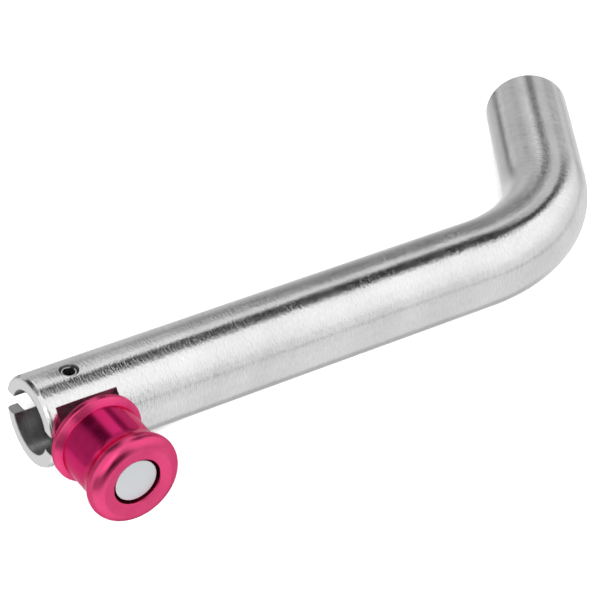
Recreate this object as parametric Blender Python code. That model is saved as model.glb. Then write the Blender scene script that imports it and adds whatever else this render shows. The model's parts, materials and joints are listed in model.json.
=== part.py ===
"""Bent hitch pin with a swivelling, spring-loaded locking knob.

Metres, +Z up.  The pin lies on its side: its axis runs along X, the handle arm bends towards +Y,
and the locking knob stands across the open end of the pin, towards -Y.
The origin is under the middle of the whole object, on the surface that it lies on.
"""

import math

import bmesh
import bpy
from mathutils import Matrix, Vector

MM = 0.001

# Bent pin: a round bar with one bend
PIN_DIAMETER = 15.875 * MM          # 5/8 inch
PIN_STRAIGHT = 91.1 * MM            # open end to the start of the bend
BEND_RADIUS = 31.6 * MM             # centre line
BEND_ANGLE = math.radians(59.1)
ARM_STRAIGHT = 27.4 * MM            # end of the bend to the arm's end face
ARM_END_ROUND = 0.4 * MM
OPEN_END_FACE_RADIUS = 7.69 * MM
OPEN_END_CHAMFER = 0.8 * MM         # along the axis

# Machining of the open end
BORE_DIAMETER = 11.08 * MM
BORE_DEPTH = 13.6 * MM
DRILL_TIP_ANGLE = math.radians(118)
SLOT_WIDTH = 3.6 * MM
SLOT_LENGTH = 11.6 * MM
FLAT_START = 2.07 * MM
FLAT_END = 13.14 * MM
FLAT_DISTANCE = 5.41 * MM           # pin axis to each flat
PIVOT_X = 7.5 * MM                  # open end to the pivot
PIVOT_HOLE_RADIUS = 1.65 * MM

# Slotted spring pin that the locking head swings on
ROLL_PIN_RADIUS = 1.55 * MM
ROLL_PIN_WALL = 0.5 * MM
ROLL_PIN_LENGTH = 15.0 * MM
ROLL_PIN_GAP = 0.7 * MM
ROLL_PIN_GAP_DIRECTION = math.radians(35)

# Flat shank of the locking head, with its eye on the spring pin
SHANK_THICKNESS = 3.0 * MM
SHANK_WIDTH = 4.4 * MM
SHANK_REACH = 19.7 * MM             # pivot to the shoulder under the cap
EYE_RADIUS = 3.2 * MM
EYE_HOLE_RADIUS = 1.7 * MM
SPIGOT_RADIUS = 1.2 * MM
SPIGOT_LENGTH = 0.9 * MM

# Spacers that keep the eye in the middle of the bore
SPACER_RADIUS = 3.0 * MM
SPACER_HOLE_RADIUS = 1.75 * MM
SPACER_LENGTH = 2.5 * MM
SPACER_CLEARANCE = 0.2 * MM

# Knob: distances are measured from the pivot, along the knob's own axis
FLANGE_RADIUS = 8.1 * MM
FLANGE_FACE = 8.1 * MM
FLANGE_EDGE = 9.65 * MM             # where the flange's rim ends and its tapered front starts
FLANGE_ROUND = 0.3 * MM
FLANGE_TAPER = 38                   # degrees between the flange's front and a flat face
WAIST_RADIUS = 7.0 * MM
WAIST_FILLET = 0.2 * MM
COVE_RADIUS = 5.0 * MM
LIP_CENTRE = 20.33 * MM
LIP_CENTRE_RADIUS = 6.04 * MM
LIP_ROUND = 2.03 * MM
FRONT_DISH_RADIUS = 4.7 * MM
FRONT_DISH_DEPTH = 0.35 * MM
KNOB_BORE_RADIUS = 4.2 * MM
KNOB_BORE_BREAK = 0.2 * MM
SWING_RADIUS = 11.0 * MM            # hollow inner face, centred on the pivot
WEB_TOP = 12.5 * MM
WEB_HOLE_RADIUS = 2.5 * MM
WEB_HOLE_HEIGHT = 3.6 * MM          # between the hole's two flat sides

# Spring, its seat washer and the cap that holds it
WASHER_RADIUS = 3.9 * MM
WASHER_HOLE_RADIUS = 2.5 * MM
WASHER_THICKNESS = 0.5 * MM
SPRING_MEAN_RADIUS = 3.3 * MM
SPRING_WIRE_RADIUS = 0.25 * MM
SPRING_TURNS = 5
CLOSED_PITCH = 2.3 * SPRING_WIRE_RADIUS  # end turns lie just clear of the next ones
SEAT_GAP = 0.2 * MM
CAP_RADIUS = 3.75 * MM
CAP_UNDERSIDE = 19.9 * MM
CAP_FACE = 21.5 * MM
CAP_EDGE_BREAK = 0.12 * MM
CAP_SOCKET_RADIUS = 1.5 * MM
CAP_SOCKET_DEPTH = 1.0 * MM

ROUND_STEPS = 48
SMALL_STEPS = 32
BEND_STEPS = 12
WIRE_STEPS = 8
WIRE_STEPS_PER_TURN = 20
MERGE = 1e-7
OVERSHOOT = 1 * MM                  # cutters reach past the solids that they cut
SHARP_ANGLE = math.radians(35)
TOWARDS_KNOB = (math.pi / 2, 0.0, 0.0)  # turns local +Z to world -Y

PIN_RADIUS = PIN_DIAMETER / 2


def clear_scene():
    for item in list(bpy.data.objects):
        bpy.data.objects.remove(item, do_unlink=True)


def material(name, colour, roughness, metallic):
    made = bpy.data.materials.new(name)
    made.use_nodes = True
    shader = made.node_tree.nodes["Principled BSDF"]
    shader.inputs["Base Color"].default_value = (*colour, 1.0)
    shader.inputs["Roughness"].default_value = roughness
    shader.inputs["Metallic"].default_value = metallic
    return made


def empty(name, location, parent=None):
    made = bpy.data.objects.new(name, None)
    made.location = location
    made.parent = parent
    made.empty_display_size = 0.01
    bpy.context.scene.collection.objects.link(made)
    return made


def finished(name, bm, look, parent, location=(0, 0, 0), rotation=(0, 0, 0)):
    """Turn a bmesh into a placed, smooth-shaded object with one material."""
    bmesh.ops.remove_doubles(bm, verts=bm.verts[:], dist=MERGE)
    bmesh.ops.recalc_face_normals(bm, faces=bm.faces[:])
    mesh = bpy.data.meshes.new(name)
    bm.to_mesh(mesh)
    bm.free()
    if look is not None:
        mesh.materials.append(look)
    mesh.shade_smooth()
    mesh.set_sharp_from_angle(angle=SHARP_ANGLE)
    made = bpy.data.objects.new(name, mesh)
    made.location = location
    made.rotation_euler = rotation
    made.parent = parent
    bpy.context.scene.collection.objects.link(made)
    return made


def as_cutter(tool):
    tool.hide_render = True
    tool.display_type = "WIRE"
    return tool


def boolean(target, tool, operation="DIFFERENCE"):
    modifier = target.modifiers.new(tool.name, "BOOLEAN")
    modifier.operation = operation
    modifier.solver = "EXACT"
    modifier.object = tool


def arc(centre, radius, start_deg, end_deg, steps):
    """Points (across, along) on a circle; 0 degrees is outward and 90 degrees is along the axis."""
    points = []
    for step in range(steps + 1):
        angle = math.radians(start_deg + (end_deg - start_deg) * step / steps)
        across = centre[0] + radius * math.cos(angle)
        along = centre[1] + radius * math.sin(angle)
        points.append((across, along))
    return points


def turned(profile, steps=ROUND_STEPS):
    """Spin a closed outline of (radius, height) points round the Z axis."""
    bm = bmesh.new()
    verts = [bm.verts.new((radius, 0, height)) for radius, height in profile]
    edges = [bm.edges.new((verts[i - 1], verts[i])) for i in range(len(verts))]
    on_axis = [e for e in edges if all(abs(v.co.x) < MERGE for v in e.verts)]
    edges = [e for e in edges if e not in on_axis]
    for edge in on_axis:
        bm.edges.remove(edge)
    bmesh.ops.spin(bm, geom=verts + edges, cent=(0, 0, 0), axis=(0, 0, 1),
                   angle=2 * math.pi, steps=steps, use_merge=False, use_duplicate=False)
    bmesh.ops.remove_doubles(bm, verts=bm.verts[:], dist=MERGE)
    return bm


def block(name, low, high, parent):
    """A box-shaped cutter between two corners."""
    bm = bmesh.new()
    size = [b - a for a, b in zip(low, high)]
    middle = [(a + b) / 2 for a, b in zip(low, high)]
    bmesh.ops.create_cube(bm, size=1.0, matrix=Matrix.Translation(middle) @ Matrix.Diagonal((*size, 1)))
    return as_cutter(finished(name, bm, None, parent))


def rod(name, radius, length, parent, location=(0, 0, 0), rotation=(0, 0, 0), steps=SMALL_STEPS):
    """A round cutter centred on its location, along its own Z axis."""
    bm = bmesh.new()
    bmesh.ops.create_cone(bm, cap_ends=True, segments=steps, radius1=radius, radius2=radius, depth=length)
    return as_cutter(finished(name, bm, None, parent, location, rotation))


# ---------------------------------------------------------------- bent pin

def grow(bm, edges, move=None, scale=None, centre=None):
    """Extrude an open loop of edges, then move it or scale it about a centre."""
    made = bmesh.ops.extrude_edge_only(bm, edges=edges)["geom"]
    verts = [item for item in made if isinstance(item, bmesh.types.BMVert)]
    if move is not None:
        bmesh.ops.translate(bm, verts=verts, vec=move)
    if scale is not None:
        for vert in verts:
            vert.co = centre + (vert.co - centre) * scale
    return [item for item in made if isinstance(item, bmesh.types.BMEdge)]


def bent_bar():
    bm = bmesh.new()
    face_on_x = Matrix.Rotation(math.pi / 2, 4, "Y")
    bmesh.ops.create_circle(bm, cap_ends=False, segments=ROUND_STEPS,
                            radius=OPEN_END_FACE_RADIUS, matrix=face_on_x)
    start_loop = bm.edges[:]
    loop = grow(bm, start_loop, move=Vector((OPEN_END_CHAMFER, 0, 0)),
                scale=PIN_RADIUS / OPEN_END_FACE_RADIUS, centre=Vector((OPEN_END_CHAMFER, 0, 0)))
    loop = grow(bm, loop, move=Vector((PIN_STRAIGHT - OPEN_END_CHAMFER, 0, 0)))
    bend_verts = list({vert for edge in loop for vert in edge.verts})
    bend = bmesh.ops.spin(bm, geom=bend_verts + loop, cent=(PIN_STRAIGHT, BEND_RADIUS, 0),
                          axis=(0, 0, 1), angle=BEND_ANGLE, steps=BEND_STEPS,
                          use_merge=False, use_duplicate=False)
    loop = [item for item in bend["geom_last"] if isinstance(item, bmesh.types.BMEdge)]
    arm = Vector((math.cos(BEND_ANGLE), math.sin(BEND_ANGLE), 0))
    loop = grow(bm, loop, move=arm * (ARM_STRAIGHT - ARM_END_ROUND))
    centre = sum((edge.verts[0].co + edge.verts[1].co for edge in loop), Vector()) / (2 * len(loop))
    for tilt in (30, 60, 90):
        angle = math.radians(tilt)
        before = math.radians(tilt - 30)
        rise = arm * ARM_END_ROUND * (math.sin(angle) - math.sin(before))
        outer = PIN_RADIUS - ARM_END_ROUND * (1 - math.cos(angle))
        inner = PIN_RADIUS - ARM_END_ROUND * (1 - math.cos(before))
        centre = centre + rise
        loop = grow(bm, loop, move=rise, scale=outer / inner, centre=centre)
    bmesh.ops.edgeloop_fill(bm, edges=start_loop)
    bmesh.ops.edgeloop_fill(bm, edges=loop)
    return bm


def drill_outline():
    """Half outline of the drill: flat at its open end, pointed at its tip."""
    radius = BORE_DIAMETER / 2
    tip = radius / math.tan(DRILL_TIP_ANGLE / 2)
    return [(0, -OVERSHOOT), (radius, -OVERSHOOT), (radius, BORE_DEPTH), (0, BORE_DEPTH + tip)]


def make_bent_pin(look, parent):
    pin = finished("bent_pin", bent_bar(), look, parent)
    reach = PIN_RADIUS + OVERSHOOT
    along_x = (0, math.pi / 2, 0)
    drill = as_cutter(finished("cut_bore", turned(drill_outline()), None, parent, rotation=along_x))
    half = SLOT_WIDTH / 2
    slot = block("cut_slot", (-OVERSHOOT, -reach, -half), (SLOT_LENGTH, reach, half), parent)
    knob_low, knob_high = (FLAT_START, -reach, -reach), (FLAT_END, -FLAT_DISTANCE, reach)
    arm_low, arm_high = (FLAT_START, FLAT_DISTANCE, -reach), (FLAT_END, reach, reach)
    low_flat = block("cut_knob_flat", knob_low, knob_high, parent)
    high_flat = block("cut_arm_flat", arm_low, arm_high, parent)
    hole = rod("cut_pivot_hole", PIVOT_HOLE_RADIUS, 2 * reach, parent, (PIVOT_X, 0, 0))
    for tool in (drill, slot, low_flat, high_flat, hole):
        boolean(pin, tool)


def prism(outline, low, high):
    """Extrude a closed outline of (x, y) points from one height to another."""
    bm = bmesh.new()
    face = bm.faces.new([bm.verts.new((x, y, low)) for x, y in outline])
    made = bmesh.ops.extrude_face_region(bm, geom=[face])["geom"]
    top = [item for item in made if isinstance(item, bmesh.types.BMVert)]
    bmesh.ops.translate(bm, verts=top, vec=(0, 0, high - low))
    return bm


def make_roll_pin(look, parent):
    """A tube with a lengthwise gap: a C-shaped outline, extruded."""
    inner = ROLL_PIN_RADIUS - ROLL_PIN_WALL
    outline = []
    for radius, turn in ((ROLL_PIN_RADIUS, 1), (inner, -1)):
        gap = math.degrees(math.asin(ROLL_PIN_GAP / 2 / radius))
        first = math.degrees(ROLL_PIN_GAP_DIRECTION) + turn * gap
        outline += arc((0, 0), radius, first, first + turn * (360 - 2 * gap), SMALL_STEPS)
    half = ROLL_PIN_LENGTH / 2
    finished("pivot_roll_pin", prism(outline, -half, half), look, parent)


def ring_outline(inner, outer, low, high):
    return [(inner, low), (outer, low), (outer, high), (inner, high)]


def make_spacer(name, look, parent, side):
    low = SHANK_THICKNESS / 2 + SPACER_CLEARANCE
    high = low + SPACER_LENGTH
    outline = ring_outline(SPACER_HOLE_RADIUS, SPACER_RADIUS, low, high)
    flip = (0, 0, 0) if side > 0 else (math.pi, 0, 0)
    finished(name, turned(outline, SMALL_STEPS), look, parent, rotation=flip)


# ------------------------------------------------------------ locking head

def flat_sided(radius, height):
    """Outline of a circle cut off flat at the top and the bottom."""
    corner = math.degrees(math.asin(height / 2 / radius))
    return arc((0, 0), radius, -corner, corner, 8) + arc((0, 0), radius, 180 - corner, 180 + corner, 8)


def make_shank(look, parent):
    """Eye and flat-sided stem in one piece, with a round spigot for the cap."""
    stem = prism(flat_sided(SHANK_WIDTH / 2, SHANK_THICKNESS), 0, SHANK_REACH)
    shank = finished("swivel_shank", stem, look, parent, rotation=TOWARDS_KNOB)
    eye = rod("add_eye", EYE_RADIUS, SHANK_THICKNESS, parent)
    spigot_middle = (0, -SHANK_REACH, 0)
    spigot = rod("add_spigot", SPIGOT_RADIUS, 2 * SPIGOT_LENGTH, parent, spigot_middle, TOWARDS_KNOB)
    hole = rod("cut_eye", EYE_HOLE_RADIUS, 2 * SHANK_THICKNESS, parent)
    boolean(shank, eye, "UNION")
    boolean(shank, spigot, "UNION")
    boolean(shank, hole)


def fillet_centre(taper_start):
    """Centre of the hollow round between the flange's tapered front and the waist."""
    taper = math.radians(FLANGE_TAPER)
    root = taper_start[1] + (taper_start[0] - WAIST_RADIUS) * math.tan(taper)
    return WAIST_RADIUS + WAIST_FILLET, root + WAIST_FILLET * (1 - math.sin(taper)) / math.cos(taper)


def knob_outline():
    """Closed outline (radius, distance from the pivot): from the rim, round the outside and back inside."""
    rim_inner = math.sqrt(SWING_RADIUS ** 2 - FLANGE_FACE ** 2)
    cove_centre_radius = WAIST_RADIUS + COVE_RADIUS
    across = cove_centre_radius - LIP_CENTRE_RADIUS
    along = math.sqrt((COVE_RADIUS + LIP_ROUND) ** 2 - across ** 2)
    cove_centre = LIP_CENTRE - along
    meet = math.degrees(math.atan2(along, across))
    rounded = FLANGE_RADIUS - FLANGE_ROUND
    points = [(rim_inner, FLANGE_FACE)]
    points += arc((rounded, FLANGE_FACE + FLANGE_ROUND), FLANGE_ROUND, -90, 0, 3)
    points += arc((rounded, FLANGE_EDGE - FLANGE_ROUND), FLANGE_ROUND, 0, 90 - FLANGE_TAPER, 3)
    points += arc(fillet_centre(points[-1]), WAIST_FILLET, 270 - FLANGE_TAPER, 180, 3)
    points += arc((cove_centre_radius, cove_centre), COVE_RADIUS, 180, 180 - meet, 5)
    points += arc((LIP_CENTRE_RADIUS, LIP_CENTRE), LIP_ROUND, -meet, 90, 9)[1:]
    front = LIP_CENTRE + LIP_ROUND
    points.append((FRONT_DISH_RADIUS, front - FRONT_DISH_DEPTH))
    points.append((KNOB_BORE_RADIUS, front - FRONT_DISH_DEPTH - KNOB_BORE_BREAK))
    points.append((KNOB_BORE_RADIUS, WEB_TOP))
    points.append((0, WEB_TOP))
    rim = math.degrees(math.asin(FLANGE_FACE / SWING_RADIUS))
    points += arc((0, 0), SWING_RADIUS, 90, rim, 8)[:-1]
    return points


def make_knob(look, parent):
    """Spool-shaped knob, turned, with a flat-sided hole in its web that keys it on the shank."""
    knob = finished("knob", turned(knob_outline()), look, parent, rotation=TOWARDS_KNOB)
    outline = flat_sided(WEB_HOLE_RADIUS, WEB_HOLE_HEIGHT)
    hole = prism(outline, SWING_RADIUS - OVERSHOOT, WEB_TOP + OVERSHOOT)
    boolean(knob, as_cutter(finished("cut_web_hole", hole, None, parent, rotation=TOWARDS_KNOB)))


def make_washer(look, parent):
    low = WEB_TOP + SEAT_GAP
    high = low + WASHER_THICKNESS
    outline = ring_outline(WASHER_HOLE_RADIUS, WASHER_RADIUS, low, high)
    finished("spring_washer", turned(outline), look, parent, rotation=TOWARDS_KNOB)


def make_cap(look, parent):
    edge = CAP_RADIUS - CAP_EDGE_BREAK
    socket = CAP_UNDERSIDE + CAP_SOCKET_DEPTH
    outline = [(CAP_SOCKET_RADIUS, CAP_UNDERSIDE), (CAP_RADIUS, CAP_UNDERSIDE),
               (CAP_RADIUS, CAP_FACE - CAP_EDGE_BREAK), (edge, CAP_FACE), (0, CAP_FACE),
               (0, socket), (CAP_SOCKET_RADIUS, socket)]
    finished("stem_cap", turned(outline), look, parent, rotation=TOWARDS_KNOB)


def make_spring(look, parent):
    """Helical spring whose first and last turns lie closed, wire centre from end to end."""
    low = WEB_TOP + 2 * SEAT_GAP + WASHER_THICKNESS + SPRING_WIRE_RADIUS
    high = CAP_UNDERSIDE - SEAT_GAP - SPRING_WIRE_RADIUS
    open_pitch = (high - low - 2 * CLOSED_PITCH) / (SPRING_TURNS - 2)
    total = SPRING_TURNS * WIRE_STEPS_PER_TURN
    rings = []
    bm = bmesh.new()
    height = low
    for step in range(total + 1):
        turn = step / WIRE_STEPS_PER_TURN
        angle = 2 * math.pi * turn
        outward = Vector((math.cos(angle), math.sin(angle), 0))
        centre = outward * SPRING_MEAN_RADIUS + Vector((0, 0, height))
        ring = []
        for side in range(WIRE_STEPS):
            around = 2 * math.pi * side / WIRE_STEPS
            offset = outward * math.cos(around) + Vector((0, 0, math.sin(around)))
            ring.append(bm.verts.new(centre + offset * SPRING_WIRE_RADIUS))
        rings.append(ring)
        pitch = CLOSED_PITCH if turn < 1 or turn >= SPRING_TURNS - 1 else open_pitch
        height += pitch / WIRE_STEPS_PER_TURN
    for before, after in zip(rings, rings[1:]):
        for side in range(WIRE_STEPS):
            other = (side + 1) % WIRE_STEPS
            bm.faces.new((before[side], before[other], after[other], after[side]))
    bm.faces.new(rings[0])
    bm.faces.new(rings[-1])
    finished("compression_spring", bm, look, parent, rotation=TOWARDS_KNOB)


def frame_offset():
    """Where the centre of the open end lies when the object's box is centred over the origin."""
    arm_x = PIN_STRAIGHT + BEND_RADIUS * math.sin(BEND_ANGLE) + ARM_STRAIGHT * math.cos(BEND_ANGLE)
    arm_y = BEND_RADIUS * (1 - math.cos(BEND_ANGLE)) + ARM_STRAIGHT * math.sin(BEND_ANGLE)
    face_radius = PIN_RADIUS - ARM_END_ROUND
    high_x = arm_x + PIN_RADIUS * math.sin(BEND_ANGLE) - ARM_END_ROUND * math.cos(BEND_ANGLE)
    high_y = arm_y + face_radius * math.cos(BEND_ANGLE)
    low_x = PIVOT_X - FLANGE_RADIUS
    low_y = -(LIP_CENTRE + LIP_ROUND)
    return Vector((-(low_x + high_x) / 2, -(low_y + high_y) / 2, FLANGE_RADIUS))


def main():
    clear_scene()
    steel = material("satin_steel", (0.62, 0.62, 0.63), 0.38, 1.0)
    spring_steel = material("spring_steel", (0.28, 0.28, 0.29), 0.35, 1.0)
    plated = material("plated_steel", (0.66, 0.69, 0.72), 0.45, 1.0)
    red = material("anodised_red", (0.72, 0.02, 0.16), 0.22, 1.0)
    nylon = material("black_nylon", (0.03, 0.03, 0.03), 0.5, 0.0)

    open_end = empty("open_end", frame_offset())
    pivot = empty("pivot", (PIVOT_X, 0, 0), open_end)

    make_bent_pin(steel, open_end)
    make_roll_pin(spring_steel, pivot)
    make_spacer("upper_eye_spacer", nylon, pivot, 1)
    make_spacer("lower_eye_spacer", nylon, pivot, -1)
    make_shank(plated, pivot)
    make_knob(red, pivot)
    make_washer(plated, pivot)
    make_spring(spring_steel, pivot)
    make_cap(plated, pivot)


main()
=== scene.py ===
"""Looks of the bent hitch pin with its locking knob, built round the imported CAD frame.

Metres, +Z up.  Every piece is modelled in the frame of the open end (origin at the middle of the pin's
open end, +X along the pin) or of the pivot (origin on the swivel axis), and placed from the frame.
"""

import json
import math

import bmesh
import bpy
from mathutils import Matrix, Vector


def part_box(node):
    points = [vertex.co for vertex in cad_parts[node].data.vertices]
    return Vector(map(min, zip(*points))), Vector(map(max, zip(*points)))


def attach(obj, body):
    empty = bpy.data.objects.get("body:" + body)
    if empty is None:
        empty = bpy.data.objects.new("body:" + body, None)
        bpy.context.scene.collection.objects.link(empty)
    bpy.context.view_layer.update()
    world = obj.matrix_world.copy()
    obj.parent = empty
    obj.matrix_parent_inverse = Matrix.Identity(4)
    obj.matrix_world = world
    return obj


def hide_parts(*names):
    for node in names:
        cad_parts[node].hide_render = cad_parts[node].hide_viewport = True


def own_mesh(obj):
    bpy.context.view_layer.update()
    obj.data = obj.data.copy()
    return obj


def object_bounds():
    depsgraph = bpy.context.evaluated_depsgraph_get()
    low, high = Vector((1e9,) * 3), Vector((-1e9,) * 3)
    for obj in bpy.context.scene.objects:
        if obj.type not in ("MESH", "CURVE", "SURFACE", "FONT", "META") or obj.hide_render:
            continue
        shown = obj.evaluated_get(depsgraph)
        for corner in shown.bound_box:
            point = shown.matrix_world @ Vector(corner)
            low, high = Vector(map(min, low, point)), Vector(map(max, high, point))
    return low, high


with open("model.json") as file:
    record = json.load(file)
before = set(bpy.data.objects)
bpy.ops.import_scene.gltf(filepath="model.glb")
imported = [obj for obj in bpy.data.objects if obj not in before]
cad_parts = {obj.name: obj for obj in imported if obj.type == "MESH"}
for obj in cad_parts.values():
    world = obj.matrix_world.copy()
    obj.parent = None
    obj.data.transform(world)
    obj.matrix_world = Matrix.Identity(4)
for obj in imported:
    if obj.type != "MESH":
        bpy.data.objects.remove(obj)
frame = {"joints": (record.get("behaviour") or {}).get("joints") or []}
cad_low, cad_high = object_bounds()

MM = 0.001

# ------------------------------------------------------------------ places, from the frame
JOINTS = {joint["name"]: joint for joint in frame["joints"]}
PIVOT = Vector(JOINTS["head_swivel"]["pos_m"])
PIN_LOW, PIN_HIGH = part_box("bent_pin")
PIN_RADIUS = (PIN_HIGH.z - PIN_LOW.z) / 2
OPEN_END = Vector((PIN_LOW.x, PIVOT.y, PIVOT.z))
PIVOT_X = PIVOT.x - OPEN_END.x
KNOB_LOW, KNOB_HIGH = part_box("knob")
FLANGE_RADIUS = (KNOB_HIGH.x - KNOB_LOW.x) / 2
KNOB_FRONT = PIVOT.y - KNOB_LOW.y
FLANGE_FACE = PIVOT.y - KNOB_HIGH.y
CAP_LOW, CAP_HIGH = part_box("stem_cap")
CAP_RADIUS = (CAP_HIGH.x - CAP_LOW.x) / 2
CAP_FACE = PIVOT.y - CAP_LOW.y
CAP_UNDERSIDE = PIVOT.y - CAP_HIGH.y
SPRING_LOW, SPRING_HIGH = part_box("compression_spring")
WASHER_LOW, WASHER_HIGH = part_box("spring_washer")
ROLL_LOW, ROLL_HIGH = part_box("pivot_roll_pin")

# ------------------------------------------------------------------ the bar
PIN_STRAIGHT = 91.1 * MM
BEND_RADIUS = 31.6 * MM
BEND_ANGLE = math.radians(59.1)
BEND_LENGTH = BEND_RADIUS * BEND_ANGLE
ARM_STRAIGHT = 27.4 * MM
ARM_END_ROUND = 0.4 * MM
OPEN_END_FACE_RADIUS = 7.69 * MM
OPEN_END_CHAMFER = 0.8 * MM
FACE_CROWN = 0.1 * MM               # the open end's face falls away towards both of its edges
FACE_BREAK = 0.12 * MM
FACED_RINGS = 9                     # bands of the bar's skin, from its middle, that are the sawn face
CHAMFER_RISE = 0.97                 # share of a straight chamfer's rise, which leaves a soft shoulder
CHAMFER_REACH = 1.08                # where the shoulder meets the bar's side, in chamfer lengths
BORE_RADIUS = 5.54 * MM
BORE_DEPTH = 13.6 * MM
BORE_BREAK = 0.12 * MM
DRILL_TIP_ANGLE = math.radians(118)
SLOT_WIDTH = 3.6 * MM
SLOT_LENGTH = 11.6 * MM
FLAT_START = 2.07 * MM
FLAT_END = 13.14 * MM
FLAT_DISTANCE = 5.41 * MM
PIVOT_HOLE_RADIUS = 1.65 * MM
EDGE_BREAK = 0.10 * MM
HOLE_SEAM = math.radians(1.3)       # keeps the hole's corners off the bar's own edges
BAR_STEPS = 256
BEND_STEPS = 72
RING_BEHIND_CUTS = 16 * MM          # no face of the cut end runs further along the bar
RING_ALONG_PIN = 0.6 * PIN_STRAIGHT

# ------------------------------------------------------------------ the locking head
ROLL_PIN_WALL = 0.5 * MM
ROLL_PIN_GAP = 0.7 * MM
ROLL_PIN_GAP_DIRECTION = math.radians(35)
ROLL_PIN_TAPER = 0.25 * MM
ROLL_PIN_TAPER_LENGTH = 0.5 * MM
ROLL_PIN_EDGE_BREAK = 0.05 * MM
SPACER_HOLE_RADIUS = 1.75 * MM
SPACER_EDGE = 0.15 * MM
SHANK_THICKNESS = 3.0 * MM
SHANK_WIDTH = 4.4 * MM
SHANK_REACH = 19.7 * MM
EYE_RADIUS = 3.2 * MM
EYE_HOLE_RADIUS = 1.7 * MM
SPIGOT_RADIUS = 1.2 * MM
SPIGOT_LENGTH = 0.9 * MM
SHANK_EDGE_BREAK = 0.12 * MM
FLANGE_EDGE = 9.65 * MM             # where the flange's rim ends and its tapered front starts
FLANGE_ROUND = 0.3 * MM
FLANGE_BACK_ROUND = 0.8 * MM
FLANGE_TAPER = 38                   # degrees between the flange's front and a flat face
WAIST_RADIUS = 7.0 * MM
WAIST_FILLET = 0.1 * MM
SHADE_BAND_MIDDLE = 15.0 * MM            # painted shade: the colour is deeper round the waist and up the lip's inner slope
SHADE_BAND_HALF = 4.8 * MM
SHADE_BAND_BLEND = 0.5 * MM
COVE_RADIUS = 5.0 * MM
LIP_CENTRE_RADIUS = 6.04 * MM
LIP_ROUND = 2.03 * MM
LIP_CENTRE = KNOB_FRONT - LIP_ROUND
FRONT_DISH_RADIUS = 4.7 * MM
FRONT_DISH_DEPTH = 0.35 * MM
DISH_CORNER_ACROSS = 0.15 * MM
DISH_CORNER_ALONG = 0.03 * MM
KNOB_BORE_RADIUS = 4.2 * MM
KNOB_BORE_BREAK = 0.2 * MM
SWING_RADIUS = 11.0 * MM            # hollow inner face, round the pivot
SWING_EDGE_BREAK = 0.1 * MM
SWING_EDGE_ANGLE = 0.5              # degrees between that break and the hollow's last ring
WEB_TOP = 12.5 * MM
WEB_HOLE_RADIUS = 2.5 * MM
WEB_HOLE_HEIGHT = 3.6 * MM
SPRING_MEAN_RADIUS = 3.3 * MM
SPRING_WIRE_RADIUS = 0.25 * MM
SPRING_TURNS = 5
SPRING_CLOSED_PITCH = 2.3 * SPRING_WIRE_RADIUS
SPRING_STEPS_PER_TURN = 72
SPRING_SIDES = 20
WASHER_EDGE_BREAK = 0.1 * MM
CAP_EDGE_BREAK = 0.12 * MM
CAP_SOCKET_RADIUS = 1.5 * MM
CAP_SOCKET_DEPTH = 1.0 * MM

KNOB_STEPS = 192
ROUND_STEPS = 96
SHARP_ANGLE = math.radians(32)
MERGE = 1e-7
OVERSHOOT = 1 * MM
TOWARDS_KNOB = Matrix.Rotation(math.pi / 2, 4, "X")  # turns local +Z to world -Y

# ------------------------------------------------------------------ camera and studio
CAMERA_PLACE = (-0.2154533, -0.2904837, 0.2558512)
CAMERA_TURN_DEG = (54.8088, -2.5206, -33.5664)
CAMERA_LENS = 147.735
FLOOR_SIZE = 3.0
SOFTBOX_PLACE = Vector((-0.32, -0.44, 0.36))
SOFTBOX_SIZE = 0.5
SOFTBOX_POWER = 14.0


# ================================================================== node helpers

def add(tree, kind, inputs=None, **settings):
    """Add a node, set its options, then fill or link its inputs."""
    made = tree.nodes.new(kind)
    for name, value in settings.items():
        setattr(made, name, value)
    for key, value in (inputs or {}).items():
        if isinstance(value, bpy.types.NodeSocket):
            tree.links.new(value, made.inputs[key])
        else:
            made.inputs[key].default_value = value
    return made


def new_material(name):
    made = bpy.data.materials.new(name)
    made.use_nodes = True
    return made, made.node_tree, made.node_tree.nodes["Principled BSDF"]


def attribute(tree, name="place"):
    return add(tree, "ShaderNodeAttribute", attribute_name=name).outputs["Vector"]


def stretched(tree, vector, scale):
    return add(tree, "ShaderNodeVectorMath", {0: vector, 1: scale}, operation="MULTIPLY").outputs[0]


def noise(tree, vector, detail=2.0, roughness=0.5, scale=1.0):
    inputs = {"Vector": vector, "Scale": scale, "Detail": detail, "Roughness": roughness}
    return add(tree, "ShaderNodeTexNoise", inputs).outputs["Fac"]


def maths(tree, operation, first, second=0.0, third=0.0):
    return add(tree, "ShaderNodeMath", {0: first, 1: second, 2: third}, operation=operation).outputs[0]


def ranged(tree, value, low, high, to_low=0.0, to_high=1.0, kind="LINEAR"):
    inputs = {"Value": value, "From Min": low, "From Max": high, "To Min": to_low, "To Max": to_high}
    return add(tree, "ShaderNodeMapRange", inputs, interpolation_type=kind).outputs["Result"]


def bump(tree, height, strength, distance, normal=None):
    inputs = {"Height": height, "Strength": strength, "Distance": distance}
    if normal is not None:
        inputs["Normal"] = normal
    return add(tree, "ShaderNodeBump", inputs).outputs["Normal"]


def mixed(tree, factor, first, second):
    inputs = {"Factor": factor, "A": first, "B": second}
    made = add(tree, "ShaderNodeMix", data_type="RGBA")
    for key, value in inputs.items():
        socket = next(s for s in made.inputs if s.name == key and s.enabled)
        if isinstance(value, bpy.types.NodeSocket):
            tree.links.new(value, socket)
        else:
            socket.default_value = value
    return next(s for s in made.outputs if s.enabled)


def grey(level):
    return (level, level, level, 1.0)


# ================================================================== materials

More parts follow.
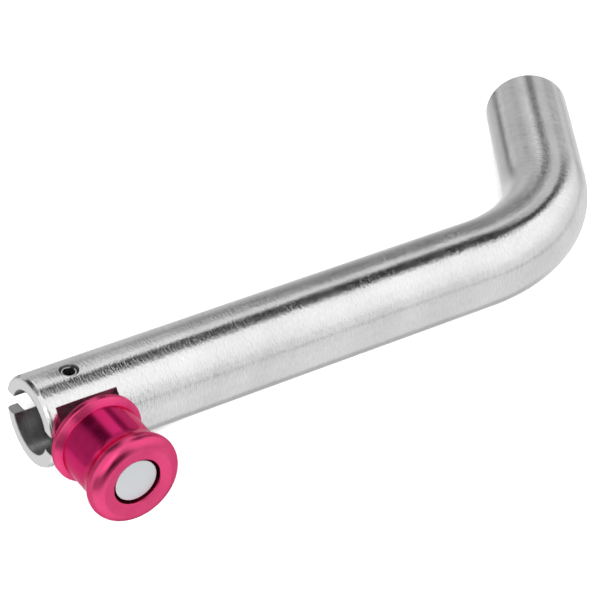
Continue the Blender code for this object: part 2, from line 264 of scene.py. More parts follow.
def make_bar_steel():
    """Zinc-plated bar: grain round the bar, soft waves, faint handling marks."""
    made, tree, shader = new_material("satin_bar_steel")
    place = attribute(tree)
    grain = noise(tree, stretched(tree, place, (3300, 900, 900)), 3.0, 0.6)
    fine = noise(tree, stretched(tree, place, (8000, 2400, 2400)), 2.0)
    waves = noise(tree, stretched(tree, place, (120, 90, 90)), 2.0)
    smudges = noise(tree, stretched(tree, place, (210, 160, 160)), 3.0, 0.6)
    normal = bump(tree, waves, 1.0, 0.00008)
    normal = bump(tree, grain, 1.0, 0.00005, normal)
    normal = bump(tree, fine, 1.0, 0.00001, normal)
    tree.links.new(normal, shader.inputs["Normal"])
    rough = maths(tree, "MULTIPLY_ADD", smudges, 0.6, maths(tree, "MULTIPLY", grain, 0.4))
    tree.links.new(ranged(tree, rough, 0.35, 0.65, 0.09, 0.17), shader.inputs["Roughness"])
    shade = maths(tree, "MULTIPLY_ADD", waves, 0.5, maths(tree, "MULTIPLY", grain, 0.5))
    shade = ranged(tree, shade, 0.3, 0.7)
    tree.links.new(mixed(tree, shade, grey(0.70), grey(0.89)), shader.inputs["Base Color"])
    shader.inputs["Metallic"].default_value = 1.0
    return made


def make_machined_steel():
    """Cut surfaces of the open end: cutter lines round the bore and across the flats, on a base colour
    darkened as painted shade for the bore's inside.
    """
    made, tree, shader = new_material("machined_steel_with_painted_shade")
    place = attribute(tree)
    lines = noise(tree, stretched(tree, place, (3600, 60, 60)), 2.0, 0.7)
    scars = noise(tree, stretched(tree, place, (700, 500, 500)), 3.0, 0.6)
    normal = bump(tree, scars, 1.0, 0.000006)
    normal = bump(tree, lines, 1.0, 0.00004, normal)
    tree.links.new(normal, shader.inputs["Normal"])
    tree.links.new(ranged(tree, scars, 0.3, 0.7, 0.28, 0.46), shader.inputs["Roughness"])
    # painted shade: the dark greys stand in for the shade inside the bore and darken the flats and slot
    # faces too; the lines are real cutter marks
    tree.links.new(mixed(tree, lines, grey(0.26), grey(0.52)), shader.inputs["Base Color"])
    shader.inputs["Metallic"].default_value = 1.0
    return made


def make_faced_steel():
    """Sawn and faced ends of the bar: rings round the bar's axis."""
    made, tree, shader = new_material("faced_steel")
    parts = add(tree, "ShaderNodeSeparateXYZ", {0: attribute(tree)}).outputs
    across = add(tree, "ShaderNodeCombineXYZ", {0: parts["Y"], 1: parts["Z"]}).outputs[0]
    radius = add(tree, "ShaderNodeVectorMath", {0: across}, operation="LENGTH").outputs["Value"]
    ring_count = maths(tree, "MULTIPLY", radius, 5200.0)
    ring_place = add(tree, "ShaderNodeCombineXYZ", {0: ring_count}).outputs[0]
    rings = noise(tree, ring_place, 2.0, 0.6)
    scars = noise(tree, stretched(tree, across, (900, 900, 900)), 3.0, 0.6)
    normal = bump(tree, scars, 1.0, 0.000005)
    normal = bump(tree, rings, 1.0, 0.000006, normal)
    tree.links.new(normal, shader.inputs["Normal"])
    tree.links.new(ranged(tree, scars, 0.3, 0.7, 0.3, 0.45), shader.inputs["Roughness"])
    tree.links.new(mixed(tree, rings, grey(0.80), grey(0.90)), shader.inputs["Base Color"])
    shader.inputs["Metallic"].default_value = 1.0
    return made


def make_red_aluminium():
    """Dyed, clear-sealed aluminium: faint turning lines, and painted shade as a deeper colour round the
    waist, with a paler, painted-lit copy of the red elsewhere.
    """
    made, tree, shader = new_material("anodised_red_aluminium")
    place = attribute(tree)
    parts = add(tree, "ShaderNodeSeparateXYZ", {0: place}).outputs
    across = add(tree, "ShaderNodeCombineXYZ", {0: parts["X"], 1: parts["Y"]}).outputs[0]
    radius = add(tree, "ShaderNodeVectorMath", {0: across}, operation="LENGTH").outputs["Value"]
    line_count = maths(tree, "MULTIPLY", maths(tree, "ADD", radius, parts["Z"]), 6500.0)
    line_place = add(tree, "ShaderNodeCombineXYZ", {0: line_count}).outputs[0]
    lines = noise(tree, line_place, 2.0, 0.6)
    cloud = noise(tree, stretched(tree, place, (320, 320, 320)), 3.0, 0.55)
    normal = bump(tree, lines, 1.0, 0.0000016)
    normal = bump(tree, cloud, 1.0, 0.00001, normal)
    tree.links.new(normal, shader.inputs["Normal"])
    from_shade_band = maths(tree, "ABSOLUTE", maths(tree, "SUBTRACT", parts["Z"], SHADE_BAND_MIDDLE))
    outside_shade_band = ranged(tree, from_shade_band, SHADE_BAND_HALF - SHADE_BAND_BLEND, SHADE_BAND_HALF + SHADE_BAND_BLEND, kind="SMOOTHSTEP")
    # painted shade: a deeper red round the waist; painted light: the paler copy (pale) away from it. The
    # cloud mix is the metal's own uneven tone.
    painted_shade_red = mixed(tree, cloud, (0.64, 0.003, 0.13, 1.0), (0.84, 0.020, 0.20, 1.0))
    pale = mixed(tree, cloud, (0.72, 0.040, 0.17, 1.0), (0.92, 0.090, 0.26, 1.0))
    tree.links.new(mixed(tree, outside_shade_band, painted_shade_red, pale), shader.inputs["Base Color"])
    waist_rough = ranged(tree, cloud, 0.3, 0.7, 0.22, 0.30)
    rim_rough = ranged(tree, cloud, 0.3, 0.7, 0.24, 0.32)
    rough_inputs = {"Factor": outside_shade_band, "A": waist_rough, "B": rim_rough}
    rough = add(tree, "ShaderNodeMix", rough_inputs, data_type="FLOAT")
    tree.links.new(rough.outputs["Result"], shader.inputs["Roughness"])
    shader.inputs["Metallic"].default_value = 1.0
    shader.inputs["Specular Tint"].default_value = (0.9, 0.35, 0.5, 1.0)
    shader.inputs["Coat Weight"].default_value = 0.3
    shader.inputs["Coat Roughness"].default_value = 0.18
    shader.inputs["Coat IOR"].default_value = 1.5
    return made


def make_plated_steel(name, low, high, rough_low, rough_high, tint=1.0):
    """Bright plated small part: cloudy satin with fine scratches."""
    made, tree, shader = new_material(name)
    place = attribute(tree)
    cloud = noise(tree, stretched(tree, place, (600, 600, 600)), 3.0, 0.6)
    grain = noise(tree, stretched(tree, place, (6000, 6000, 6000)), 2.0, 0.5)
    scratches = noise(tree, stretched(tree, place, (9000, 500, 3000)), 2.0, 0.6)
    normal = bump(tree, grain, 1.0, 0.000003)
    normal = bump(tree, scratches, 1.0, 0.000003, normal)
    tree.links.new(normal, shader.inputs["Normal"])
    tree.links.new(ranged(tree, cloud, 0.3, 0.7, rough_low, rough_high), shader.inputs["Roughness"])
    dark = (low * tint, low, low / tint, 1.0)
    light = (high * tint, high, high / tint, 1.0)
    tree.links.new(mixed(tree, cloud, dark, light), shader.inputs["Base Color"])
    shader.inputs["Metallic"].default_value = 1.0
    return made


def make_nylon():
    """Turned black nylon: slightly uneven, soft sheen."""
    made, tree, shader = new_material("black_nylon")
    place = attribute(tree)
    cloud = noise(tree, stretched(tree, place, (1500, 1500, 1500)), 3.0, 0.6)
    tree.links.new(bump(tree, cloud, 1.0, 0.00001), shader.inputs["Normal"])
    tree.links.new(mixed(tree, cloud, grey(0.02), grey(0.045)), shader.inputs["Base Color"])
    tree.links.new(ranged(tree, cloud, 0.3, 0.7, 0.42, 0.58), shader.inputs["Roughness"])
    return made


def make_floor_material():
    """Plain pale sheet."""
    made, tree, shader = new_material("pale_floor")
    place = add(tree, "ShaderNodeTexCoord").outputs["Object"]
    cloud = noise(tree, place, 2.0, 0.5, 900.0)
    tree.links.new(mixed(tree, cloud, grey(0.86), grey(0.88)), shader.inputs["Base Color"])
    shader.inputs["Roughness"].default_value = 0.9
    shader.inputs["Specular IOR Level"].default_value = 0.1
    return made


# ================================================================== mesh helpers

def mesh_object(name, bm, looks):
    """Turn a bmesh into a smooth-shaded object in the scene."""
    bmesh.ops.remove_doubles(bm, verts=bm.verts[:], dist=MERGE)
    bmesh.ops.recalc_face_normals(bm, faces=bm.faces[:])
    mesh = bpy.data.meshes.new(name)
    bm.to_mesh(mesh)
    bm.free()
    for look in looks:
        mesh.materials.append(look)
    mesh.shade_smooth()
    made = bpy.data.objects.new(name, mesh)
    bpy.context.scene.collection.objects.link(made)
    return made


def boolean(target, tool, operation="DIFFERENCE"):
    modifier = target.modifiers.new(tool.name, "BOOLEAN")
    modifier.operation = operation
    modifier.solver = "EXACT"
    modifier.material_mode = "TRANSFER"
    modifier.object = tool


def edge_break(target, width, segments=2):
    modifier = target.modifiers.new("edge_break", "BEVEL")
    modifier.width = width
    modifier.segments = segments
    modifier.limit_method = "ANGLE"
    modifier.angle_limit = SHARP_ANGLE
    modifier.use_clamp_overlap = False
    modifier.miter_outer = "MITER_ARC"


def settled(target, tools=()):
    """Replace the object's mesh by its evaluated one, and remove its modifiers and cutters."""
    bpy.context.view_layer.update()
    graph = bpy.context.evaluated_depsgraph_get()
    mesh = bpy.data.meshes.new_from_object(target.evaluated_get(graph), depsgraph=graph)
    mesh.name = target.name
    target.modifiers.clear()
    target.data = mesh
    for tool in tools:
        bpy.data.objects.remove(tool, do_unlink=True)


def placed(made, origin, turn=Matrix.Identity(4)):
    """Set the object's place; its mesh keeps its own coordinates, which the materials read."""
    made.matrix_world = Matrix.Translation(origin) @ turn


def with_place(made, rule=lambda co: co):
    """Give each vertex the coordinates that the materials' patterns follow."""
    layer = made.data.attributes.new("place", "FLOAT_VECTOR", "POINT")
    for vert, item in zip(made.data.vertices, layer.data):
        item.vector = rule(vert.co)
    made.data.set_sharp_from_angle(angle=SHARP_ANGLE)


def smooth_weighted(made):
    modifier = made.modifiers.new("even_normals", "WEIGHTED_NORMAL")
    modifier.keep_sharp = True
    modifier.weight = 80


def arc(centre, radius, start_deg, end_deg, steps):
    """Points (across, along) on a circle; 0 degrees is outward and 90 degrees is along the axis."""
    points = []
    for step in range(steps + 1):
        angle = math.radians(start_deg + (end_deg - start_deg) * step / steps)
        points.append((centre[0] + radius * math.cos(angle), centre[1] + radius * math.sin(angle)))
    return points


def turned(profile, steps):
    """Spin a closed outline of (radius, height) points round Z, as quads and triangles at the axis."""
    bm = bmesh.new()
    rings = []
    for radius, height in profile:
        if radius < MERGE:
            rings.append([bm.verts.new((0, 0, height))])
            continue
        ring = []
        for step in range(steps):
            angle = 2 * math.pi * step / steps
            ring.append(bm.verts.new((radius * math.cos(angle), radius * math.sin(angle), height)))
        rings.append(ring)
    for index in range(len(rings)):
        before, after = rings[index - 1], rings[index]
        if len(before) == 1 and len(after) == 1:
            continue
        for step in range(steps):
            other = (step + 1) % steps
            corners = [before[step % len(before)], before[other % len(before)],
                       after[other % len(after)], after[step % len(after)]]
            corners = [c for i, c in enumerate(corners) if c not in corners[:i]]
            bm.faces.new(corners)
    return bm


def block(name, low, high, look):
    bm = bmesh.new()
    size = [b - a for a, b in zip(low, high)]
    middle = [(a + b) / 2 for a, b in zip(low, high)]
    bmesh.ops.create_cube(bm, size=1.0, matrix=Matrix.Translation(middle) @ Matrix.Diagonal((*size, 1)))
    return mesh_object(name, bm, [look])


def rod(name, radius, low, high, look, turn=Matrix.Identity(4), steps=ROUND_STEPS):
    """A round solid between two heights on its own Z axis."""
    made = mesh_object(name, turned([(0, low), (radius, low), (radius, high), (0, high)], steps), [look])
    made.data.transform(turn)
    return made


def prism(outline, low, high):
    bm = bmesh.new()
    face = bm.faces.new([bm.verts.new((x, y, low)) for x, y in outline])
    made = bmesh.ops.extrude_face_region(bm, geom=[face])["geom"]
    top = [item for item in made if isinstance(item, bmesh.types.BMVert)]
    bmesh.ops.translate(bm, verts=top, vec=(0, 0, high - low))
    return bm


def flat_sided(radius, height, steps=24):
    """Outline of a circle cut off flat at the top and the bottom."""
    corner = math.degrees(math.asin(height / 2 / radius))
    right = arc((0, 0), radius, -corner, corner, steps)
    left = arc((0, 0), radius, 180 - corner, 180 + corner, steps)
    return right + left


# ================================================================== bent bar

def bar_frame(distance):
    """Middle of the bar and direction to the inside of its bend, at a distance from the open end."""
    angle = min(max(distance - PIN_STRAIGHT, 0.0) / BEND_RADIUS, BEND_ANGLE)
    inward = Vector((-math.sin(angle), math.cos(angle), 0))
    along = Vector((math.cos(angle), math.sin(angle), 0))
    middle = Vector((PIN_STRAIGHT, BEND_RADIUS, 0)) - inward * BEND_RADIUS
    if distance < PIN_STRAIGHT:
        middle = middle + along * (distance - PIN_STRAIGHT)
    elif distance > PIN_STRAIGHT + BEND_LENGTH:
        middle = middle + along * (distance - PIN_STRAIGHT - BEND_LENGTH)
    return middle, inward


def bar_place(co):
    """Coordinates of a point as if the bar were straight."""
    if co.x <= PIN_STRAIGHT and co.y < BEND_RADIUS:
        return Vector((co.x, co.y, co.z))
    from_centre = Vector((co.x - PIN_STRAIGHT, co.y - BEND_RADIUS))
    angle = math.atan2(from_centre.x, -from_centre.y)
    if angle <= BEND_ANGLE:
        return Vector((PIN_STRAIGHT + BEND_RADIUS * angle, BEND_RADIUS - from_centre.length, co.z))
    middle, inward = bar_frame(PIN_STRAIGHT + BEND_LENGTH)
    along = Vector((inward.y, -inward.x, 0))
    offset = co - middle
    return Vector((PIN_STRAIGHT + BEND_LENGTH + offset.dot(along), offset.dot(inward), co.z))


def bar_rings():
    """(distance along the bar, radius) of each ring of the bar's skin."""
    bar_length = PIN_STRAIGHT + BEND_LENGTH + ARM_STRAIGHT
    slope = (PIN_RADIUS - OPEN_END_FACE_RADIUS) / OPEN_END_CHAMFER
    face_middle = (OPEN_END_FACE_RADIUS + BORE_RADIUS) / 2
    face_half = (OPEN_END_FACE_RADIUS - BORE_RADIUS) / 2
    rings = [(0.0, 0.0)]
    for share in (-1.25, -0.9, -0.6, -0.3, 0.0, 0.3, 0.6, 0.9):
        rings.append((FACE_CROWN * share ** 2, face_middle + face_half * share))
    for tilt in (30, 60, 90):
        angle = math.radians(tilt)
        rings.append((FACE_CROWN + FACE_BREAK * (1 - math.cos(angle)),
                      OPEN_END_FACE_RADIUS - FACE_BREAK * (1 - math.sin(angle))))
    for share in (0.5, 0.8, 0.92):
        x = FACE_CROWN + FACE_BREAK + (OPEN_END_CHAMFER - FACE_CROWN - FACE_BREAK) * share
        rings.append((x, OPEN_END_FACE_RADIUS + slope * x * CHAMFER_RISE))
    for distance in (OPEN_END_CHAMFER * CHAMFER_REACH, RING_BEHIND_CUTS, RING_ALONG_PIN):
        rings.append((distance, PIN_RADIUS))
    for step in range(BEND_STEPS + 1):
        rings.append((PIN_STRAIGHT + BEND_LENGTH * step / BEND_STEPS, PIN_RADIUS))
    for tilt in range(0, 91, 15):
        angle = math.radians(tilt)
        rings.append((bar_length - ARM_END_ROUND * (1 - math.sin(angle)),
                      PIN_RADIUS - ARM_END_ROUND * (1 - math.cos(angle))))
    rings.append((bar_length, 0.0))
    return rings


def bar_skin():
    bm = bmesh.new()
    rings = []
    for distance, radius in bar_rings():
        middle, inward = bar_frame(distance)
        if radius < MERGE:
            rings.append([bm.verts.new(middle)])
            continue
        ring = []
        for step in range(BAR_STEPS):
            angle = 2 * math.pi * step / BAR_STEPS
            ring.append(bm.verts.new(middle + inward * radius * math.cos(angle)
                                     + Vector((0, 0, radius * math.sin(angle)))))
        rings.append(ring)
    faced = (*range(1, FACED_RINGS + 1), len(rings) - 1)
    for index in range(1, len(rings)):
        before, after = rings[index - 1], rings[index]
        if len(before) == 1 or len(after) == 1:
            face = bm.faces.new(before if len(after) == 1 else after)
            face.material_index = 1
            continue
        for step in range(BAR_STEPS):
            other = (step + 1) % BAR_STEPS
            face = bm.faces.new((before[step], before[other], after[other], after[step]))
            face.material_index = int(index in faced)
    for ring in (rings[0], rings[-1]):
        bm.verts.remove(ring[0])
    return bm


def make_bar(looks):
    steel, faced, machined = looks
    bar = mesh_object("bar", bar_skin(), [steel, faced, machined])
    reach = PIN_RADIUS + OVERSHOOT
    tip = BORE_DEPTH + BORE_RADIUS / math.tan(DRILL_TIP_ANGLE / 2)
    mouth = BORE_RADIUS + BORE_BREAK + OVERSHOOT
    drill_outline = [(0, -OVERSHOOT), (mouth, -OVERSHOOT), (BORE_RADIUS, BORE_BREAK),
                     (BORE_RADIUS, BORE_DEPTH), (0, tip)]
    drill = mesh_object("cut_bore", turned(drill_outline, BAR_STEPS), [machined])
    drill.data.transform(Matrix.Rotation(math.pi / 2, 4, "Y"))
    half = SLOT_WIDTH / 2
    slot = block("cut_slot", (-OVERSHOOT, -reach, -half), (SLOT_LENGTH, reach, half), machined)
    knob_flat = block("cut_knob_flat", (FLAT_START, -reach, -reach),
                      (FLAT_END, -FLAT_DISTANCE, reach), machined)
    arm_flat = block("cut_arm_flat", (FLAT_START, FLAT_DISTANCE, -reach),
                     (FLAT_END, reach, reach), machined)
    hole = rod("cut_hole", PIVOT_HOLE_RADIUS, -reach, reach, machined,
               Matrix.Translation((PIVOT_X, 0, 0)) @ Matrix.Rotation(HOLE_SEAM, 4, "Z"))
    tools = [drill, slot, knob_flat, arm_flat, hole]
    for tool in tools:
        boolean(bar, tool)
    edge_break(bar, EDGE_BREAK)
    settled(bar, tools)
    with_place(bar, bar_place)
    smooth_weighted(bar)
    placed(bar, OPEN_END)
    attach(bar, "pin")
    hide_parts("bent_pin")


# ================================================================== swivel parts

def make_roll_pin(look):
    """Slotted spring pin: a C-shaped tube with tapered ends."""
    outer = (ROLL_HIGH.x - ROLL_LOW.x) / 2
    inner = outer - ROLL_PIN_WALL
    half = (ROLL_HIGH.z - ROLL_LOW.z) / 2
    levels = [(-half, outer - ROLL_PIN_TAPER), (ROLL_PIN_TAPER_LENGTH - half, outer),
              (half - ROLL_PIN_TAPER_LENGTH, outer), (half, outer - ROLL_PIN_TAPER)]
    bm = bmesh.new()
    loops = []
    for height, radius in levels:
        outline = []
        for size, turn in ((radius, 1), (inner, -1)):
            gap = math.degrees(math.asin(ROLL_PIN_GAP / 2 / size))
            first = math.degrees(ROLL_PIN_GAP_DIRECTION) + turn * gap
            outline += arc((0, 0), size, first, first + turn * (360 - 2 * gap), ROUND_STEPS)
        loops.append([bm.verts.new((x, y, height)) for x, y in outline])
    for before, after in zip(loops, loops[1:]):
        for index in range(len(before)):
            bm.faces.new((before[index - 1], before[index], after[index], after[index - 1]))
    for loop in (loops[0], loops[-1]):
        for index in range(ROUND_STEPS):
            bm.faces.new((loop[index], loop[index + 1], loop[-2 - index], loop[-1 - index]))
    pin = mesh_object("roll_pin", bm, [look])
    edge_break(pin, ROLL_PIN_EDGE_BREAK)
    settled(pin)
    with_place(pin)
    placed(pin, PIVOT)
    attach(pin, "pin")
    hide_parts("pivot_roll_pin")


def make_spacer(node, look):
    """Ring on the rolled pin, above or below the eye, with rounded edges."""
    low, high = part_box(node)
    radius = (high.x - low.x) / 2
    hole, edge = SPACER_HOLE_RADIUS, SPACER_EDGE
    bottom, top = low.z - PIVOT.z, high.z - PIVOT.z
    outline = arc((radius - edge, bottom + edge), edge, -90, 0, 5)
    outline += arc((radius - edge, top - edge), edge, 0, 90, 5)
    outline += arc((hole + edge, top - edge), edge, 90, 180, 5)
    outline += arc((hole + edge, bottom + edge), edge, 180, 270, 5)
    spacer = mesh_object("spacer_" + node.split("_")[0], turned(outline, ROUND_STEPS), [look])
    with_place(spacer)
    placed(spacer, PIVOT)
    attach(spacer, "pin")
    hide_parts(node)


def make_shank(look):
    """Flat-sided stem with its eye, made in the pivot's frame with +Z towards the knob."""
    stem = mesh_object("shank", prism(flat_sided(SHANK_WIDTH / 2, SHANK_THICKNESS), 0, SHANK_REACH), [look])
    across = Matrix.Rotation(math.pi / 2, 4, "X")
    half = SHANK_THICKNESS / 2
    eye = rod("add_eye", EYE_RADIUS, -half, half, look, across)
    spigot = rod("add_spigot", SPIGOT_RADIUS, SHANK_REACH - SPIGOT_LENGTH,
                 SHANK_REACH + SPIGOT_LENGTH, look)
    hole = rod("cut_eye", EYE_HOLE_RADIUS, -2 * half, 2 * half, look, across)
    boolean(stem, eye, "UNION")
    boolean(stem, spigot, "UNION")
    boolean(stem, hole)
    edge_break(stem, SHANK_EDGE_BREAK)
    settled(stem, [eye, spigot, hole])
    with_place(stem)
    smooth_weighted(stem)
    placed(stem, PIVOT, TOWARDS_KNOB)
    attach(stem, "swivel_head")
    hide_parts("swivel_shank")


def make_cap(look):
    """Round cap pressed on the stem's spigot; its face shows in the knob's front."""
    edge = CAP_EDGE_BREAK
    socket = CAP_UNDERSIDE + CAP_SOCKET_DEPTH
    outline = [(CAP_SOCKET_RADIUS, CAP_UNDERSIDE)]
    outline += arc((CAP_RADIUS - edge, CAP_UNDERSIDE + edge), edge, -90, 0, 4)
    outline += arc((CAP_RADIUS - edge, CAP_FACE - edge), edge, 0, 90, 6)
    outline += [(0, CAP_FACE), (0, socket), (CAP_SOCKET_RADIUS, socket)]
    cap = mesh_object("cap", turned(outline, KNOB_STEPS), [look])
    with_place(cap)
    placed(cap, PIVOT, TOWARDS_KNOB)
    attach(cap, "swivel_head")
    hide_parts("stem_cap")


def make_spring(look):
    """Helical spring with closed end turns, built at one length; the real spring shortens as the knob is
    pulled.
    """
    low = PIVOT.y - SPRING_HIGH.y + SPRING_WIRE_RADIUS
    high = PIVOT.y - SPRING_LOW.y - SPRING_WIRE_RADIUS
    open_pitch = (high - low - 2 * SPRING_CLOSED_PITCH) / (SPRING_TURNS - 2)
    bm = bmesh.new()
    rings = []
    height = low
    for step in range(SPRING_TURNS * SPRING_STEPS_PER_TURN + 1):
        turn = step / SPRING_STEPS_PER_TURN
        outward = Vector((math.cos(2 * math.pi * turn), math.sin(2 * math.pi * turn), 0))
        centre = outward * SPRING_MEAN_RADIUS + Vector((0, 0, height))
        ring = []
        for side in range(SPRING_SIDES):
            around = 2 * math.pi * side / SPRING_SIDES
            offset = outward * math.cos(around) + Vector((0, 0, math.sin(around)))
            ring.append(bm.verts.new(centre + offset * SPRING_WIRE_RADIUS))
        rings.append(ring)
        closed = turn < 1 or turn >= SPRING_TURNS - 1
        height += (SPRING_CLOSED_PITCH if closed else open_pitch) / SPRING_STEPS_PER_TURN
    for before, after in zip(rings, rings[1:]):
        for side in range(SPRING_SIDES):
            other = (side + 1) % SPRING_SIDES
            bm.faces.new((before[side], before[other], after[other], after[side]))
    bm.faces.new(rings[0])
    bm.faces.new(rings[-1])
    spring = mesh_object("spring", bm, [look])
    with_place(spring)
    placed(spring, PIVOT, TOWARDS_KNOB)
    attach(spring, "swivel_head")
    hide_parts("compression_spring")
    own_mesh(spring)


# ================================================================== knob

def fillet_centre(taper_start):
    """Centre of the hollow round between the flange's tapered front and the waist."""
    taper = math.radians(FLANGE_TAPER)
    root = taper_start[1] + (taper_start[0] - WAIST_RADIUS) * math.tan(taper)
    return WAIST_RADIUS + WAIST_FILLET, root + WAIST_FILLET * (1 - math.sin(taper)) / math.cos(taper)


def knob_outline():
    """Closed outline (radius, distance from the pivot), from the rim round the outside and back inside."""
    rim_inner = math.sqrt(SWING_RADIUS ** 2 - FLANGE_FACE ** 2)
    cove_centre_radius = WAIST_RADIUS + COVE_RADIUS
    across = cove_centre_radius - LIP_CENTRE_RADIUS
    along = math.sqrt((COVE_RADIUS + LIP_ROUND) ** 2 - across ** 2)
    cove_centre = LIP_CENTRE - along
    meet = math.degrees(math.atan2(along, across))
    rounded = FLANGE_RADIUS - FLANGE_ROUND
    back_rounded = FLANGE_RADIUS - FLANGE_BACK_ROUND
    front = LIP_CENTRE + LIP_ROUND
    dish_floor = front - FRONT_DISH_DEPTH
    bore_break_centre = (KNOB_BORE_RADIUS + KNOB_BORE_BREAK, dish_floor - KNOB_BORE_BREAK)
    points = [(rim_inner + SWING_EDGE_BREAK, FLANGE_FACE)]
    points += arc((back_rounded, FLANGE_FACE + FLANGE_BACK_ROUND), FLANGE_BACK_ROUND, -90, 0, 12)
    points += arc((rounded, FLANGE_EDGE - FLANGE_ROUND), FLANGE_ROUND, 0, 90 - FLANGE_TAPER, 8)
    points += arc(fillet_centre(points[-1]), WAIST_FILLET, 270 - FLANGE_TAPER, 180, 8)
    points += arc((cove_centre_radius, cove_centre), COVE_RADIUS, 180, 180 - meet, 24)
    points += arc((LIP_CENTRE_RADIUS, LIP_CENTRE), LIP_ROUND, -meet, 90, 48)[1:]
    points.append((FRONT_DISH_RADIUS + DISH_CORNER_ACROSS, dish_floor + DISH_CORNER_ALONG))
    points.append((KNOB_BORE_RADIUS + KNOB_BORE_BREAK, dish_floor))
    points += arc(bore_break_centre, KNOB_BORE_BREAK, 90, 180, 6)[1:]
    points.append((KNOB_BORE_RADIUS, WEB_TOP))
    points.append((0, WEB_TOP))
    rim = math.degrees(math.asin(FLANGE_FACE / SWING_RADIUS))
    points += arc((0, 0), SWING_RADIUS, 90, rim + SWING_EDGE_ANGLE, 24)
    return points


def make_knob(look):
    knob = mesh_object("knob_shell", turned(knob_outline(), KNOB_STEPS), [look])
    outline = flat_sided(WEB_HOLE_RADIUS, WEB_HOLE_HEIGHT)
    hole = mesh_object("cut_web", prism(outline, SWING_RADIUS - OVERSHOOT, WEB_TOP + OVERSHOOT), [look])
    boolean(knob, hole)
    settled(knob, [hole])
    with_place(knob)
    smooth_weighted(knob)
    placed(knob, PIVOT, TOWARDS_KNOB)
    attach(knob, "sliding_knob")
    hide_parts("knob")


def make_washer(look):
    low, high = PIVOT.y - WASHER_HIGH.y, PIVOT.y - WASHER_LOW.y
    radius = (WASHER_HIGH.x - WASHER_LOW.x) / 2
    edge = WASHER_EDGE_BREAK
    outline = arc((radius - edge, low + edge), edge, -90, 0, 4)
    outline += arc((radius - edge, high - edge), edge, 0, 90, 4)
    outline += [(WEB_HOLE_RADIUS, high), (WEB_HOLE_RADIUS, low)]
    washer = mesh_object("seat_washer", turned(outline, ROUND_STEPS), [look])
    with_place(washer)
    placed(washer, PIVOT, TOWARDS_KNOB)
    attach(washer, "sliding_knob")
    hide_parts("spring_washer")


# ================================================================== studio

def make_floor():
    bm = bmesh.new()
    bmesh.ops.create_grid(bm, x_segments=1, y_segments=1, size=FLOOR_SIZE / 2)
    floor = mesh_object("floor", bm, [make_floor_material()])
    floor.location.z = cad_low.z
    floor.visible_glossy = False


# Studio by direction: azimuth from +X and elevation in degrees, lean of the two upright edges (degrees of
# azimuth per degree of elevation, none at the panel's middle), edge softness, brightness.
# The surround is bright; each panel is laid over the ones before it.
SURROUND = 1.04
PANELS = (
    ("floor", -66, 190, -95, -3, 0, 5, 0.78),
    ("left_low", -190, -72, -27, 4, 0, 8, 0.36),
    ("left_box", -152, -115, 18, 54, 0, 10, 1.6),
    ("camera_side", -118, -76, -10, 33, 0, 12, 0.06),
    ("camera_above", -112, -84, 30, 62, 0, 12, 0.45),
    ("key_hot", -58, -24, 34, 60, 0, 16, 1.12),
    ("key_low", -70, 12, -3, 16, 0, 14, 0.82),
    ("horizon", -66, 12, -6, -2, 0, 3, 0.48),
    ("far_floor", 0, 60, -80, -46, 0, 14, 0.48),
    ("floor_right", 16, 48, -14, 0, 0, 8, 0.50),
    ("flag_top", -11, 44, 53, 72, 0, 5, 0.015),
    ("flag_core", 4, 44, 46, 60, 0, 5, 0.015),
    ("flag_slant", 12, 26, 18, 62, -0.38, 8, 0.04),
    ("flag_foot", 20, 29, 4, 24, 0, 6, 0.30),
    ("right_low", 29, 50, 0, 44, 0, 6, 0.60),
    ("strip", 38, 60, 45, 57, 0, 3, 0.82),
    ("back_high", 47, 63, 15, 41, -0.4, 5, 0.13),
    ("back_low", 50, 66, -2, 16, 0, 6, 0.30),
    ("back_bright", 64, 84, 40, 56, 0, 5, 0.85),
    ("back_right", 67, 94, -3, 38, 0, 6, 0.54),
    ("back_edge", 80, 104, -13, -2, 0, 4, 0.10),
    ("back_flag", 86, 127, 28, 62, 0, 9, 0.04),
    ("back_flag_low", 96, 112, 10, 34, 0, 8, 0.12),
    ("far_left", 114, 152, -4, 34, 0, 10, 0.36),
    ("far_top", 96, 160, 56, 84, 0, 12, 0.26),
    ("far_right", 125, 140, 30, 62, 0, 8, 0.26),
    ("table_far", 75, 106, -34, -12, 0, 8, 0.52),
    ("table_edge", 45, 80, -13, -3, 0, 6, 0.46),
    ("table_left", 104, 152, -16, -3, 0, 6, 0.42),
)


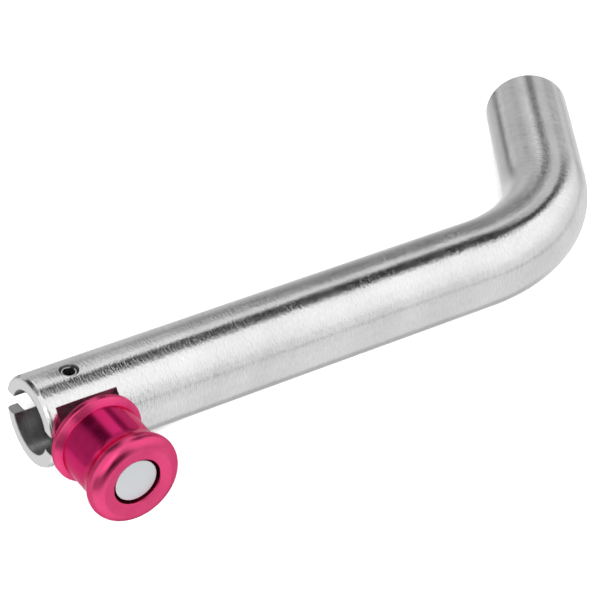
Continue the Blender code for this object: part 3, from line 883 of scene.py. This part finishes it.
def make_world():
    """Soft boxes and black flags round the object, as brightness by direction."""
    world = bpy.data.worlds.new("studio")
    bpy.context.scene.world = world
    world.use_nodes = True
    tree = world.node_tree
    direction = add(tree, "ShaderNodeTexCoord").outputs["Generated"]
    parts = add(tree, "ShaderNodeSeparateXYZ", {0: direction}).outputs
    azimuth = maths(tree, "MULTIPLY", maths(tree, "ARCTAN2", parts["Y"], parts["X"]), math.degrees(1))
    elevation = maths(tree, "MULTIPLY", maths(tree, "ARCSINE", parts["Z"]), math.degrees(1))
    light = add(tree, "ShaderNodeValue").outputs[0]
    light.default_value = SURROUND
    for _, left, right, low, high, lean, soft, brightness in PANELS:
        half = soft / 2
        shift = maths(tree, "MULTIPLY", maths(tree, "SUBTRACT", elevation, (low + high) / 2), lean)
        across = maths(tree, "SUBTRACT", azimuth, shift)
        inside = ranged(tree, across, left - half, left + half, kind="SMOOTHSTEP")
        other_edges = ((across, right, 1, 0), (elevation, low, 0, 1), (elevation, high, 1, 0))
        for value, edge, before, after in other_edges:
            fade = ranged(tree, value, edge - half, edge + half, before, after, "SMOOTHSTEP")
            inside = maths(tree, "MULTIPLY", inside, fade)
        mix = add(tree, "ShaderNodeMix", {"Factor": inside, "A": light, "B": brightness}, data_type="FLOAT")
        light = mix.outputs["Result"]
    seen = add(tree, "ShaderNodeLightPath").outputs["Is Camera Ray"]
    shown = add(tree, "ShaderNodeMix", {"Factor": seen, "A": light, "B": 1.0}, data_type="FLOAT")
    background = tree.nodes["Background"]
    tree.links.new(shown.outputs["Result"], background.inputs["Strength"])
    background.inputs["Color"].default_value = grey(1.0)


def make_softbox():
    """Round lamp aimed at the middle of the floor; the steel doesn't mirror it."""
    data = bpy.data.lights.new("softbox", "AREA")
    data.shape = "DISK"
    data.size = SOFTBOX_SIZE
    data.energy = SOFTBOX_POWER
    made = bpy.data.objects.new("softbox", data)
    made.location = SOFTBOX_PLACE
    made.rotation_euler = (-SOFTBOX_PLACE).to_track_quat("-Z", "Y").to_euler()
    made.visible_glossy = False
    made.visible_camera = False
    bpy.context.scene.collection.objects.link(made)


def make_camera():
    data = bpy.data.cameras.new("camera")
    data.lens = CAMERA_LENS
    data.clip_start = 0.01
    data.clip_end = 20.0
    camera = bpy.data.objects.new("camera", data)
    camera.location = CAMERA_PLACE
    camera.rotation_euler = [math.radians(turn) for turn in CAMERA_TURN_DEG]
    bpy.context.scene.collection.objects.link(camera)
    bpy.context.scene.camera = camera


def main():
    bpy.context.scene.view_settings.view_transform = "Standard"
    bar_looks = (make_bar_steel(), make_faced_steel(), make_machined_steel())
    red = make_red_aluminium()
    disc = make_plated_steel("brushed_disc", 0.80, 0.86, 0.4, 0.5, 0.97)
    plated = make_plated_steel("plated_steel", 0.6, 0.7, 0.3, 0.42)
    spring_steel = make_plated_steel("spring_steel", 0.6, 0.7, 0.2, 0.3)
    nylon = make_nylon()

    make_bar(bar_looks)
    make_roll_pin(spring_steel)
    make_spacer("upper_eye_spacer", nylon)
    make_spacer("lower_eye_spacer", nylon)
    make_shank(plated)
    make_knob(red)
    make_washer(plated)
    make_spring(spring_steel)
    make_cap(disc)

    make_floor()
    make_world()
    make_softbox()
    make_camera()


main()
